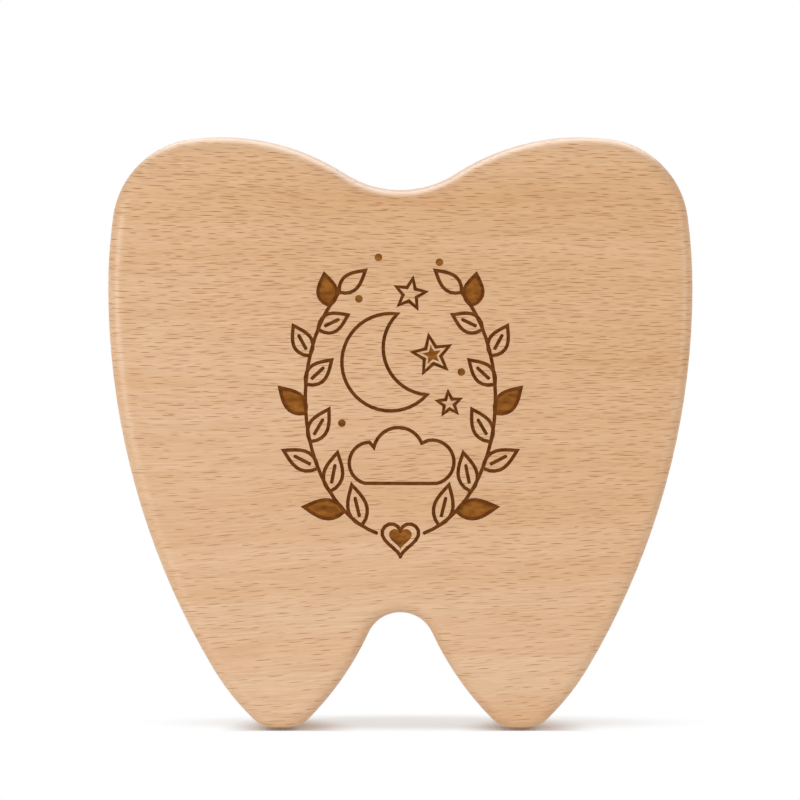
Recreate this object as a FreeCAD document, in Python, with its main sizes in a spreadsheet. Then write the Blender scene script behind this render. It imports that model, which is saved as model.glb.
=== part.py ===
# A baby tooth box in solid beech, shaped like a molar and standing on its two roots.
# A thick lid swings sideways on a screw pivot hidden in one shoulder of the crown, over a tray with a
# well for each milk tooth and two troughs for corked glass vials. Disc magnets hold the lid shut.
# Frame: millimetres, +Z up, the lid faces -Y, origin on the floor midway between the roots.

import FreeCAD
import Part
import Sketcher
import math
import os
import re

DRIVING_SIZES = {
    # Outline of the tooth, seen from the front
    "tooth_width": 120.0,
    "tooth_height": 122.0,
    "valley_depth": 11.0,
    "valley_radius": 21.4,
    "crown_radius": 47.4,
    "corner_radius": 18.5,
    "shoulder_radius": 108.0,
    "side_drop": 31.0,
    "heel_radius": 50.0,
    "heel_swell": 1.1,
    "tip_radius": 8.0,
    "tip_spacing": 49.2,
    "leg_radius": 62.0,
    "arch_height": 24.4,
    "arch_radius": 7.2,
    # Boards
    "lid_thickness": 11.0,
    "lid_skin": 3.2,
    "base_floor": 6.0,
    "seam_gap": 0.3,
    "edge_radius": 3.0,
    "seam_chamfer": 0.4,
    "mouth_chamfer": 0.3,
    # Tooth wells, on an oval ring
    "well_diameter": 9.0,
    "well_depth": 11.0,
    # Vials, corks and their troughs
    "vial_diameter": 11.0,
    "vial_length": 36.0,
    "vial_wall": 1.1,
    "vial_floor": 1.6,
    "cork_grip": 6.0,
    "cork_head": 5.0,
    "cork_step": 0.5,
    "cork_bevel": 0.8,
    "trough_room": 0.5,
    "trough_cover": 0.8,
    "trough_web": 5.0,
    "thumb_diameter": 20.0,
    "thumb_depth": 8.0,
    # Pivot in the left shoulder
    "pivot_inset": 15.5,
    "pivot_drop": 15.0,
    "screw_diameter": 4.0,
    "screw_head_diameter": 8.0,
    "screw_head_height": 2.6,
    "socket_width": 2.5,
    "socket_depth": 1.4,
    "head_room": 0.4,
    "axial_play": 0.05,
    "running_clearance": 0.05,
    "bush_wall": 1.2,
    "washer_rim": 1.0,
    "washer_thickness": 0.75,
    "plug_thickness": 2.4,
    "plug_recess": 0.15,
    "insert_wall": 1.5,
    "insert_room": 0.8,
    "flange_overhang": 1.2,
    "flange_thickness": 0.8,
    # Closing magnets
    "magnet_diameter": 8.0,
    "magnet_thickness": 3.0,
    "magnet_recess": 0.1,
    # Gap left round every piece that is glued or pressed in
    "fit_clearance": 0.05,
}

WELL_COUNT = 20

doc = FreeCAD.newDocument("baby_tooth_box")


# Driving sizes

sheet = doc.addObject("Spreadsheet::Sheet", "Sizes")
for row, (alias, number) in enumerate(DRIVING_SIZES.items(), start=1):
    sheet.set(f"A{row}", alias)
    sheet.set(f"B{row}", str(number))
    sheet.setAlias(f"B{row}", alias)
doc.recompute()


def sized(formula):
    """The formula with each driving size written as a reference to its cell."""
    def reference(match):
        word = match[0]
        return f"Sizes.{word}" if word in DRIVING_SIZES else word

    return re.sub("[a-z_]+", reference, formula)


def value(formula):
    """What the formula gives now, as a plain number."""
    return float(sheet.evalExpression(sized(formula)))


def bind(target, prop, formula):
    target.setExpression(prop, sized(formula))


# Places that several pieces share

BASE_THICKNESS = "( vial_diameter + trough_room + trough_cover + base_floor )"
HALF_THICKNESS = f"( ( lid_thickness + seam_gap + {BASE_THICKNESS} ) / 2 )"
LID_BACK = f"( lid_thickness - {HALF_THICKNESS} )"
BASE_FRONT = f"( {HALF_THICKNESS} - {BASE_THICKNESS} )"
BASE_BACK = HALF_THICKNESS

PIVOT_X = "( pivot_inset - tooth_width / 2 )"
SHOULDER_X = "( tooth_width / 2 - pivot_inset )"
SHOULDER_Z = "( tooth_height - pivot_drop )"
MAGNET_PLACES = (
    (SHOULDER_X, SHOULDER_Z),
    ("( tip_spacing / 2 )", "tip_radius"),
    ("( 0 - tip_spacing / 2 )", "tip_radius"),
)

VALLEY_HEIGHT = "( tooth_height - valley_depth )"
WIDEST_Z = "( tooth_height - side_drop )"

# The flank leaves the widest point straight down and swells a little past the root tip's own circle.
FLANK_AIM = "( tip_radius + heel_swell )"
FLANK_ACROSS = "( ( tooth_width - tip_spacing ) / 2 )"
FLANK_DROP = f"( {WIDEST_Z} - tip_radius )"
FLANK_RADIUS = (
    f"( ( {FLANK_ACROSS} ^ 2 + {FLANK_DROP} ^ 2 - {FLANK_AIM} ^ 2 )"
    f" / ( 2 * ( {FLANK_ACROSS} - {FLANK_AIM} ) ) )"
)

RING_CENTRE_Z = f"( ( {VALLEY_HEIGHT} + arch_height ) / 2 )"
TROUGH_WIDTH = "( vial_diameter + 2 * trough_room )"
STOPPED_LENGTH = "( vial_length + cork_head )"
TROUGH_DEPTH = f"( {BASE_THICKNESS} - base_floor )"
TROUGH_OFFSET = f"( ( {TROUGH_WIDTH} + trough_web ) / 2 )"
TROUGH_PLACES = (f"( {RING_CENTRE_Z} + {TROUGH_OFFSET} )", f"( {RING_CENTRE_Z} - {TROUGH_OFFSET} )")

# The ring of wells runs midway between the troughs and the outline.
RING_HALF_WIDTH = f"( ( ( {STOPPED_LENGTH} + {TROUGH_WIDTH} ) / 2 + tooth_width / 2 ) / 2 )"
RING_HALF_HEIGHT = f"( ( {TROUGH_OFFSET} + {TROUGH_WIDTH} / 2 + ( {VALLEY_HEIGHT} - arch_height ) / 2 ) / 2 )"

WASHER_DIAMETER = "( screw_head_diameter + 2 * washer_rim )"
WASHER_SEAT = f"( {WASHER_DIAMETER} + 2 * fit_clearance )"
WASHER_RECESS = "( washer_thickness + axial_play - seam_gap )"
HEAD_SEAT = "( washer_thickness + axial_play )"
COUNTERBORE_DEPTH = f"( {HEAD_SEAT} + screw_head_height + head_room + plug_thickness + plug_recess )"
BUSH_BORE = "( screw_diameter + 2 * running_clearance )"
BUSH_DIAMETER = f"( {BUSH_BORE} + 2 * bush_wall )"
BUSH_LENGTH = f"( {BASE_THICKNESS} - {WASHER_RECESS} - {COUNTERBORE_DEPTH} )"
INSERT_LENGTH = "( lid_thickness - lid_skin - insert_room )"
INSERT_BORE = "( screw_diameter + 2 * fit_clearance )"
INSERT_DIAMETER = f"( {INSERT_BORE} + 2 * insert_wall )"
FLANGE_DIAMETER = f"( {INSERT_DIAMETER} + 2 * flange_overhang )"


# Sketch helpers

def origin_plane(body, role):
    return next(f for f in body.Origin.OriginFeatures if f.Role == role)


def new_body(label):
    body = doc.addObject("PartDesign::Body", label)
    body.Label = label
    return body


def new_sketch(body, name, role="XZ_Plane", depth=None):
    """A sketch on one of the body's own planes, moved back along +Y by depth where one is given."""
    sketch = body.newObject("Sketcher::SketchObject", f"{body.Name}_{name}")
    sketch.AttachmentSupport = (origin_plane(body, role), [""])
    sketch.MapMode = "FlatFace"
    if depth is not None:
        bind(sketch, "AttachmentOffset.Base.z", f"0 - {depth}")
    return sketch


def constrain(sketch, kind, *where, formula):
    """Adds a dimension and ties it to its formula."""
    index = sketch.addConstraint(Sketcher.Constraint(kind, *where, value(formula)))
    name = f"size_{index}"
    sketch.renameConstraint(index, name)
    bind(sketch, f"Constraints.{name}", formula)


# How a sketch numbers its two axes, and the points of a line or arc
ACROSS_AXIS, UP_AXIS = range(-1, -3, -1)
START, END, CENTRE = range(1, 4)
ORIGIN = (ACROSS_AXIS, START)


def place_point(sketch, geometry, point, across, up):
    """Fixes a point of the sketch at two formulas from the origin, or on an axis where one is 0."""
    for kind, formula, axis in (("DistanceX", across, UP_AXIS), ("DistanceY", up, ACROSS_AXIS)):
        if formula == "0":
            sketch.addConstraint(Sketcher.Constraint("PointOnObject", geometry, point, axis))
        else:
            constrain(sketch, kind, *ORIGIN, geometry, point, formula=formula)


def add_circle(sketch, across, up, diameter):
    centre = FreeCAD.Vector(value(across), value(up), 0)
    circle = Part.Circle(centre, FreeCAD.Vector(0, 0, 1), value(diameter) / 2)
    geometry = sketch.addGeometry(circle)
    place_point(sketch, geometry, CENTRE, across, up)
    constrain(sketch, "Diameter", geometry, formula=diameter)


def add_polygon(sketch, corners):
    """A closed polygon whose corners are pairs of formulas."""
    points = [FreeCAD.Vector(value(a), value(u), 0) for a, u in corners]
    count = len(points)
    lines = [
        sketch.addGeometry(Part.LineSegment(points[i], points[(i + 1) % count])) for i in range(count)
    ]
    for i, line in enumerate(lines):
        following = lines[(i + 1) % count]
        sketch.addConstraint(Sketcher.Constraint("Coincident", line, END, following, START))
    for line, (across, up) in zip(lines, corners):
        place_point(sketch, line, START, across, up)


def add_slot(sketch, up, length, width):
    """A slot lying across the sketch, centred on the up axis, whose round ends lie beyond its length."""
    reach = f"( {length} / 2 )"
    radius = value(width) / 2
    half, middle = value(reach), value(up)
    right, left = FreeCAD.Vector(half, middle, 0), FreeCAD.Vector(-half, middle, 0)
    rise = FreeCAD.Vector(0, radius, 0)
    normal = FreeCAD.Vector(0, 0, 1)
    quarter = math.pi / 2
    right_end = sketch.addGeometry(Part.ArcOfCircle(Part.Circle(right, normal, radius), -quarter, quarter))
    left_end = sketch.addGeometry(Part.ArcOfCircle(Part.Circle(left, normal, radius), quarter, 3 * quarter))
    top = sketch.addGeometry(Part.LineSegment(right + rise, left + rise))
    bottom = sketch.addGeometry(Part.LineSegment(left - rise, right - rise))
    for first, second in ((right_end, top), (top, left_end), (left_end, bottom), (bottom, right_end)):
        sketch.addConstraint(Sketcher.Constraint("Tangent", first, END, second, START))
    place_point(sketch, right_end, CENTRE, reach, up)
    sketch.addConstraint(Sketcher.Constraint("Symmetric", top, START, top, END, UP_AXIS))
    sketch.addConstraint(Sketcher.Constraint("Equal", right_end, left_end))
    constrain(sketch, "Radius", right_end, formula=f"{width} / 2")


# The tooth outline: valley and arch on the centre line, and seven tangent arcs down each side

def meeting_points(first, first_radius, second, second_radius):
    """Where two circles cross."""
    between = second - first
    distance = between.Length
    along = (first_radius**2 - second_radius**2 + distance**2) / (2 * distance)
    away = math.sqrt(first_radius**2 - along**2)
    unit = between / distance
    normal = FreeCAD.Vector(-unit.y, unit.x, 0)
    foot = first + unit * along
    return foot + normal * away, foot - normal * away


def outline_circles():
    """Centre and radius of each circle of the outline's right half."""
    size = {alias: value(alias) for alias in DRIVING_SIZES}
    vector = FreeCAD.Vector
    valley_radius, crown_radius = size["valley_radius"], size["crown_radius"]
    corner_radius, shoulder_radius = size["corner_radius"], size["shoulder_radius"]
    flank_radius, heel_radius = value(FLANK_RADIUS), size["heel_radius"]
    tip_radius, leg_radius, arch_radius = size["tip_radius"], size["leg_radius"], size["arch_radius"]

    valley = vector(0, value(VALLEY_HEIGHT) + valley_radius, 0)
    crown_z = size["tooth_height"] - crown_radius
    crown_x = math.sqrt((valley_radius + crown_radius) ** 2 - (valley.y - crown_z) ** 2)
    crown = vector(crown_x, crown_z, 0)
    widest = vector(size["tooth_width"] / 2, value(WIDEST_Z), 0)
    shoulder = widest - vector(shoulder_radius, 0, 0)
    corners = meeting_points(crown, crown_radius - corner_radius, shoulder, shoulder_radius - corner_radius)
    corner = max(corners, key=lambda point: point.y)

    # The heel bends the flank into the root tip.
    flank = widest - vector(flank_radius, 0, 0)
    tip = vector(size["tip_spacing"] / 2, tip_radius, 0)
    heels = meeting_points(flank, flank_radius - heel_radius, tip, heel_radius - tip_radius)
    heel = max(heels, key=lambda point: point.y)

    arch = vector(0, size["arch_height"] - arch_radius, 0)
    legs = meeting_points(tip, leg_radius - tip_radius, arch, leg_radius + arch_radius)
    leg = max(legs, key=lambda point: point.y)
    return {
        "valley": (valley, valley_radius),
        "crown": (crown, crown_radius),
        "corner": (corner, corner_radius),
        "shoulder": (shoulder, shoulder_radius),
        "flank": (flank, flank_radius),
        "heel": (heel, heel_radius),
        "tip": (tip, tip_radius),
        "leg": (leg, leg_radius),
        "arch": (arch, arch_radius),
    }


FLANK_CHAIN = ("crown", "corner", "shoulder", "flank", "heel", "tip", "leg")


def add_tooth_outline(sketch):
    circles = outline_circles()

    def joint(first, second):
        """Where two touching circles of the chain meet: on the larger one, towards the smaller."""
        small, large = sorted((circles[first], circles[second]), key=lambda circle: circle[1])
        return large[0] + (small[0] - large[0]).normalize() * large[1]

    def mirrored(point):
        return FreeCAD.Vector(-point.x, point.y, 0)

    def add_arc(centre, radius, start, end):
        first = math.atan2(start.y - centre.y, start.x - centre.x)
        last = math.atan2(end.y - centre.y, end.x - centre.x)
        if last < first:
            last += 2 * math.pi
        circle = Part.Circle(centre, FreeCAD.Vector(0, 0, 1), radius)
        return sketch.addGeometry(Part.ArcOfCircle(circle, first, last))

    chain = ("valley",) + FLANK_CHAIN + ("arch",)
    joints = [joint(a, b) for a, b in zip(chain, chain[1:])]
    right, left = {}, {}
    for name, before, after in zip(FLANK_CHAIN, joints, joints[1:]):
        centre, radius = circles[name]
        right[name] = add_arc(centre, radius, after, before)
        left[name] = add_arc(mirrored(centre), radius, mirrored(before), mirrored(after))
    valley = add_arc(*circles["valley"], mirrored(joints[0]), joints[0])
    arch = add_arc(*circles["arch"], joints[-1], mirrored(joints[-1]))

    def touch(first, first_end, second, second_end):
        sketch.addConstraint(Sketcher.Constraint("Tangent", first, first_end, second, second_end))

    touch(valley, END, right["crown"], END)
    touch(valley, START, left["crown"], START)
    for upper, lower in zip(FLANK_CHAIN, FLANK_CHAIN[1:]):
        touch(right[upper], START, right[lower], END)
        touch(left[upper], END, left[lower], START)
    touch(right["leg"], START, arch, START)
    touch(left["leg"], END, arch, END)

    for name in FLANK_CHAIN:
        radius = FLANK_RADIUS if name == "flank" else f"{name}_radius"
        constrain(sketch, "Radius", right[name], formula=radius)
        sketch.addConstraint(Sketcher.Constraint("Equal", right[name], left[name]))
    constrain(sketch, "Radius", valley, formula="valley_radius")
    constrain(sketch, "Radius", arch, formula="arch_radius")
    place_point(sketch, valley, CENTRE, "0", f"{VALLEY_HEIGHT} + valley_radius")
    place_point(sketch, arch, CENTRE, "0", "arch_height - arch_radius")
    place_point(sketch, right["shoulder"], CENTRE, "tooth_width / 2 - shoulder_radius", WIDEST_Z)
    place_point(sketch, right["tip"], CENTRE, "tip_spacing / 2", "tip_radius")
    constrain(sketch, "DistanceY", *ORIGIN, right["crown"], CENTRE, formula="tooth_height - crown_radius")
    constrain(sketch, "DistanceY", *ORIGIN, right["shoulder"], START, formula=WIDEST_Z)
    for name in ("shoulder", "tip"):
        pair = (right[name], CENTRE, left[name], CENTRE, UP_AXIS)
        sketch.addConstraint(Sketcher.Constraint("Symmetric", *pair))
    sketch.addConstraint(Sketcher.Constraint("Horizontal", right["crown"], CENTRE, left["crown"], CENTRE))
    sketch.addConstraint(Sketcher.Constraint("Horizontal", right["shoulder"], START, left["shoulder"], END))


# Feature helpers

def pad(body, sketch, length, backwards=False):
    feature = body.newObject("PartDesign::Pad", f"{body.Name}_pad")
    feature.Profile = sketch
    bind(feature, "Length", length)
    feature.Reversed = backwards
    doc.recompute()
    return feature


def pocket(body, sketch, depth, forwards=False):
    """Cuts the sketch into the body, towards +Y or, where forwards is set, towards -Y."""
    before = body.Shape.Volume
    feature = body.newObject("PartDesign::Pocket", f"{sketch.Name}_pocket")
    feature.Profile = sketch
    bind(feature, "Length", depth)
    feature.Reversed = forwards
    doc.recompute()
    if body.Shape.Volume >= before:
        raise RuntimeError(f"{sketch.Name} cut nothing")
    return feature


def face_at(feature, y):
    """Name of the feature's flat face that looks along Y at that distance."""
    for index, face in enumerate(feature.Shape.Faces, start=1):
        box = face.BoundBox
        if box.YLength < 1e-6 and abs(box.YMin - y) < 1e-6:
            return f"Face{index}"
    raise RuntimeError(f"{feature.Name} has no face at {y}")


def ease(body, kind, prop, names, size):
    """Rounds or bevels the named edges or faces of the body's last feature."""
    last_feature = body.Tip
    feature = body.newObject(f"PartDesign::{kind}", f"{body.Name}_{kind}")
    feature.Base = (last_feature, names)
    bind(feature, prop, size)
    doc.recompute()
    return feature


def turned_piece(label, profile, across, along, up, lengthwise=False):
    """A body turned about its own X axis from (distance along, radius) corners.

    Its axis lies along +Y in the box, or along +X where lengthwise is set.
    """
    body = new_body(label)
    sketch = new_sketch(body, "profile", role="XY_Plane")
    add_polygon(sketch, profile)
    turning = body.newObject("PartDesign::Revolution", f"{label}_turning")
    turning.Profile = sketch
    turning.ReferenceAxis = (sketch, ["H_Axis"])
    turning.Angle = 360
    doc.recompute()
    angle = 0 if lengthwise else 90
    body.Placement = FreeCAD.Placement(FreeCAD.Vector(), FreeCAD.Rotation(FreeCAD.Vector(0, 0, 1), angle))
    for axis, formula in (("x", across), ("y", along), ("z", up)):
        bind(body, f"Placement.Base.{axis}", formula)
    return body


def ring_profile(length, inner, outer):
    return (
        ("0", f"{inner} / 2"),
        (length, f"{inner} / 2"),
        (length, f"{outer} / 2"),
        ("0", f"{outer} / 2"),
    )


# Lid: one thick board, rounded in front, bored behind for the threaded insert and the magnets

def make_lid():
    body = new_body("lid_panel")
    outline = new_sketch(body, "outline")
    add_tooth_outline(outline)
    board = pad(body, outline, "lid_thickness")
    front = face_at(board, -value("lid_thickness"))
    rounding = ease(body, "Fillet", "Radius", [front], "edge_radius")
    ease(body, "Chamfer", "Size", [face_at(rounding, 0)], "seam_chamfer")

    insert_hole = new_sketch(body, "insert_hole")
    add_circle(insert_hole, PIVOT_X, SHOULDER_Z, f"{INSERT_DIAMETER} + 2 * fit_clearance")
    pocket(body, insert_hole, f"{INSERT_LENGTH} + insert_room", forwards=True)
    flange_seat = new_sketch(body, "flange_seat")
    add_circle(flange_seat, PIVOT_X, SHOULDER_Z, f"{FLANGE_DIAMETER} + 2 * fit_clearance")
    pocket(body, flange_seat, "flange_thickness", forwards=True)
    magnet_holes = new_sketch(body, "magnet_holes")
    for across, up in MAGNET_PLACES:
        add_circle(magnet_holes, across, up, "magnet_diameter + 2 * fit_clearance")
    pocket(body, magnet_holes, "magnet_thickness + magnet_recess", forwards=True)
    bind(body, "Placement.Base.y", LID_BACK)
    return body


# Base: the same outline in a thicker board, rounded behind, drilled and routed in front

def well_places():
    """Formulas for the well centres, evenly spread round the oval ring.

    The turn is the series that undoes the ring's uneven arc length, to second order in its flatness.
    """
    flatness = f"( ( {RING_HALF_WIDTH} - {RING_HALF_HEIGHT} ) / ( {RING_HALF_WIDTH} + {RING_HALF_HEIGHT} ) )"
    for index in range(WELL_COUNT):
        bearing = 360 * (index + 0.5) / WELL_COUNT
        first = f"{flatness} / 2 * sin({2 * bearing})"
        second = f"5 / 16 * {flatness} ^ 2 * sin({4 * bearing})"
        turn = f"( {bearing} + 180 / pi * ( {first} + {second} ) )"
        yield f"{RING_HALF_WIDTH} * cos({turn})", f"{RING_CENTRE_Z} + {RING_HALF_HEIGHT} * sin({turn})"


def make_base():
    body = new_body("base_tray")
    outline = new_sketch(body, "outline")
    add_tooth_outline(outline)
    board = pad(body, outline, BASE_THICKNESS, backwards=True)
    rounding = ease(body, "Fillet", "Radius", [face_at(board, value(BASE_THICKNESS))], "edge_radius")
    ease(body, "Chamfer", "Size", [face_at(rounding, 0)], "seam_chamfer")

    wells = new_sketch(body, "wells")
    for across, up in well_places():
        add_circle(wells, across, up, "well_diameter")
    pocket(body, wells, "well_depth")
    troughs = new_sketch(body, "troughs")
    for up in TROUGH_PLACES:
        add_slot(troughs, up, STOPPED_LENGTH, TROUGH_WIDTH)
    pocket(body, troughs, TROUGH_DEPTH)
    thumb_recess = new_sketch(body, "thumb_recess")
    add_circle(thumb_recess, "0", RING_CENTRE_Z, "thumb_diameter")
    routed = pocket(body, thumb_recess, "thumb_depth")

    # Every mouth on the front face is bevelled, but not the rim of the board itself.
    front = routed.Shape.getElement(face_at(routed, 0))
    rim = front.OuterWire
    mouths = [
        f"Edge{index}"
        for index, edge in enumerate(routed.Shape.Edges, start=1)
        if any(edge.isSame(e) for e in front.Edges) and not any(edge.isSame(e) for e in rim.Edges)
    ]
    ease(body, "Chamfer", "Size", mouths, "mouth_chamfer")

    bush_bore = new_sketch(body, "bush_bore")
    add_circle(bush_bore, PIVOT_X, SHOULDER_Z, f"{BUSH_DIAMETER} + 2 * fit_clearance")
    pocket(body, bush_bore, BASE_THICKNESS)
    washer_seat = new_sketch(body, "washer_seat")
    add_circle(washer_seat, PIVOT_X, SHOULDER_Z, WASHER_SEAT)
    pocket(body, washer_seat, WASHER_RECESS)
    counterbore = new_sketch(body, "counterbore", depth=BASE_THICKNESS)
    add_circle(counterbore, PIVOT_X, SHOULDER_Z, WASHER_SEAT)
    pocket(body, counterbore, COUNTERBORE_DEPTH, forwards=True)
    magnet_holes = new_sketch(body, "magnet_holes")
    for across, up in MAGNET_PLACES:
        add_circle(magnet_holes, across, up, "magnet_diameter + 2 * fit_clearance")
    pocket(body, magnet_holes, "magnet_thickness + magnet_recess")
    bind(body, "Placement.Base.y", BASE_FRONT)
    return body


# Pivot: a socket screw from the back, through a brass bush, into a flanged insert in the lid

def make_pivot():
    counterbore_floor = f"{BASE_BACK} - {COUNTERBORE_DEPTH}"
    head_underside = f"{counterbore_floor} + {HEAD_SEAT}"
    at_pivot = {"across": PIVOT_X, "up": SHOULDER_Z}

    shank = f"( {head_underside} - ( {LID_BACK} - {INSERT_LENGTH} ) )"
    screw_profile = (
        (f"0 - {shank}", "0"),
        ("screw_head_height", "0"),
        ("screw_head_height", "screw_head_diameter / 2"),
        ("0", "screw_head_diameter / 2"),
        ("0", "screw_diameter / 2"),
        (f"0 - {shank}", "screw_diameter / 2"),
    )
    screw = turned_piece("pivot_screw", screw_profile, along=head_underside, **at_pivot)
    socket = new_sketch(screw, "socket", role="YZ_Plane")
    bind(socket, "AttachmentOffset.Base.z", "screw_head_height")
    side = "socket_width / 2"
    flat = f"( socket_width / 2 / {math.sqrt(3)} )"
    add_polygon(
        socket,
        (
            (side, f"0 - {flat}"),
            (side, flat),
            ("0", f"2 * {flat}"),
            (f"0 - {side}", flat),
            (f"0 - {side}", f"0 - {flat}"),
            ("0", f"0 - 2 * {flat}"),
        ),
    )
    pocket(screw, socket, "socket_depth")

    bush = turned_piece(
        "pivot_bush",
        ring_profile(BUSH_LENGTH, BUSH_BORE, BUSH_DIAMETER),
        along=f"{BASE_FRONT} + {WASHER_RECESS}",
        **at_pivot,
    )
    washer = ring_profile("washer_thickness", BUSH_BORE, WASHER_DIAMETER)
    spacer = f"{BASE_FRONT} + {WASHER_RECESS} - washer_thickness"
    thrust_washer = turned_piece("thrust_washer", washer, along=spacer, **at_pivot)
    head_washer = turned_piece("head_washer", washer, along=counterbore_floor, **at_pivot)
    plug_profile = (
        ("0", "0"),
        ("plug_thickness", "0"),
        ("plug_thickness", f"{WASHER_DIAMETER} / 2"),
        ("0", f"{WASHER_DIAMETER} / 2"),
    )
    plug_front = f"{BASE_BACK} - plug_recess - plug_thickness"
    plug = turned_piece("back_plug", plug_profile, along=plug_front, **at_pivot)

    insert_profile = (
        (f"0 - {INSERT_LENGTH}", f"{INSERT_BORE} / 2"),
        ("0", f"{INSERT_BORE} / 2"),
        ("0", f"{FLANGE_DIAMETER} / 2"),
        ("0 - flange_thickness", f"{FLANGE_DIAMETER} / 2"),
        ("0 - flange_thickness", f"{INSERT_DIAMETER} / 2"),
        (f"0 - {INSERT_LENGTH}", f"{INSERT_DIAMETER} / 2"),
    )
    insert = turned_piece("threaded_insert", insert_profile, along=LID_BACK, **at_pivot)
    return [screw, bush, thrust_washer, head_washer, plug, insert]


# Magnets: a disc in the free shoulder and one in each root, in the lid and again in the base

def make_magnets(label, face):
    """Three discs whose near faces lie at the given distance along Y."""
    discs = []
    for index, (across, up) in enumerate(MAGNET_PLACES, start=1):
        disc = doc.addObject("Part::Cylinder", f"{label}_{index}")
        bind(disc, "Radius", "magnet_diameter / 2")
        bind(disc, "Height", "magnet_thickness")
        disc.Placement.Rotation = FreeCAD.Rotation(FreeCAD.Vector(1, 0, 0), -90)
        for axis, formula in (("x", across), ("y", face), ("z", up)):
            bind(disc, f"Placement.Base.{axis}", formula)
        discs.append(disc)
    group = doc.addObject("Part::Compound", label)
    group.Label = label
    group.Links = discs
    return group


# Vials: straight glass tubes lying in the troughs, each stopped with a cork

def make_vial(place_name, up):
    seat_gap = "( trough_room / 2 )"
    bottom = f"0 - {STOPPED_LENGTH} / 2"
    axis_depth = f"{BASE_FRONT} + {TROUGH_DEPTH} - {seat_gap} - vial_diameter / 2"
    bore = "( vial_diameter / 2 - vial_wall )"
    glass_profile = (
        ("0", "0"),
        ("vial_floor", "0"),
        ("vial_floor", bore),
        ("vial_length", bore),
        ("vial_length", "vial_diameter / 2"),
        ("0", "vial_diameter / 2"),
    )
    place = {"along": axis_depth, "up": f"{up} - {seat_gap}", "lengthwise": True}
    glass = turned_piece(f"{place_name}_vial", glass_profile, across=bottom, **place)
    head = "( vial_diameter / 2 - cork_step )"
    cork_profile = (
        ("0 - cork_grip", "0"),
        ("cork_head", "0"),
        ("cork_head", f"{head} - cork_bevel"),
        ("cork_head - cork_bevel", head),
        ("0", head),
        ("0", f"{bore} - fit_clearance"),
        ("0 - cork_grip", f"{bore} - fit_clearance"),
    )
    cork = turned_piece(f"{place_name}_stopper", cork_profile, across=f"{bottom} + vial_length", **place)
    return [glass, cork]


sub_parts = [make_lid(), make_base(), *make_pivot()]
sub_parts.append(make_magnets("lid_magnets", f"{LID_BACK} - magnet_recess - magnet_thickness"))
sub_parts.append(make_magnets("base_magnets", f"{BASE_FRONT} + magnet_recess"))
for place_name, trough in zip(("upper", "lower"), TROUGH_PLACES):
    sub_parts += make_vial(place_name, trough)


# Check everything, then write one file for each sub-part

doc.recompute()
for item in doc.Objects:
    if "Invalid" in item.State or "Error" in item.State:
        raise RuntimeError(f"{item.Name} failed: {item.State}")
os.makedirs("parts", exist_ok=True)
for sub_part in sub_parts:
    shape = sub_part.Shape
    if shape.isNull() or not shape.isValid() or not shape.Solids:
        raise RuntimeError(f"{sub_part.Label} has no valid solid")
    shape.exportStep(f"parts/{sub_part.Label}.step")
    print(f"{sub_part.Label}: {len(shape.Solids)} solids, {shape.Volume:.1f} mm3")
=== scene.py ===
import math

import bmesh
import bpy
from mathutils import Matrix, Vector


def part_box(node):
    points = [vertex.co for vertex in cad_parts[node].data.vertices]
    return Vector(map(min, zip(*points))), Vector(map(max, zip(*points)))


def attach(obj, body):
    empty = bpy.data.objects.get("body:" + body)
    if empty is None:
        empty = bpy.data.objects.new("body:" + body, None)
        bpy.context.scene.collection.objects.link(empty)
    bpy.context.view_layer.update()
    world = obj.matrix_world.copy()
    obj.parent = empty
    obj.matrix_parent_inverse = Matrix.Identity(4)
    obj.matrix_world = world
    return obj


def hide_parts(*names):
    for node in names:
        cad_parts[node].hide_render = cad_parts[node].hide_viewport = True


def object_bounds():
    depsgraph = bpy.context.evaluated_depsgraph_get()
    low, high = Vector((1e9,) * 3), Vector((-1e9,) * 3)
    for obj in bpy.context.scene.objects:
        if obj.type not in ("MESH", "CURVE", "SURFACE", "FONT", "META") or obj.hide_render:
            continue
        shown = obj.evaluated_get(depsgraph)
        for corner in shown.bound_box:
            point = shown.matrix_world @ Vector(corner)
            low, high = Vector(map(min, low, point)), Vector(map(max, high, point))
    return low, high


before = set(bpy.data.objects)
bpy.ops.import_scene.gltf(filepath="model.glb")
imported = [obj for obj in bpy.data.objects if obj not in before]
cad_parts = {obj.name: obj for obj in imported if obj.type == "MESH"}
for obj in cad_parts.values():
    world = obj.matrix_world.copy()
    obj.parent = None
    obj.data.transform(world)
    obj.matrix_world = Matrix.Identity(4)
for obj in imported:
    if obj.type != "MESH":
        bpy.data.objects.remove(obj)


# Base tray
# The body of the box: a thick board of steamed beech, bandsawn to the outline of a tooth, drilled and
# routed from the front for the milk teeth and the vials, then sanded round its back edge and oiled.

MM = 0.001
BEECH_PALE = (0.682, 0.443, 0.2705, 1)
BEECH_PINK = (0.638, 0.381, 0.2056, 1)
BEECH_FLECK = (0.31, 0.103, 0.0, 1)
FIBRE_DARK = (0.925, 0.89, 0.855, 1)
FIBRE_PALE = (1.12, 1.18, 1.22, 1)
CROWN_TINT = (0.936, 0.871, 0.772, 1)
# Painted contact shade on the root tips: its colour, and the heights over which it fades out
PAINTED_FOOT_SHADE = (0.28, 0.13, 0.052, 1)
FOOT_SHADE_HEIGHTS = (0.5 * MM, 1.1 * MM)

# How the grain wavers: the size of each wave along X, Y and Z, and how far it lifts the grain
SWAY_SIZE = (60 * MM, 40 * MM, 30 * MM)
SWAY_LIFT = 1.5 * MM
RIPPLE_SIZE = (25 * MM, 7 * MM, 12 * MM)
RIPPLE_LIFT = 0.5 * MM
FAN_HEIGHTS = (20 * MM, 115 * MM)
FAN_SLOPES = (-0.075, 0.035)

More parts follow.
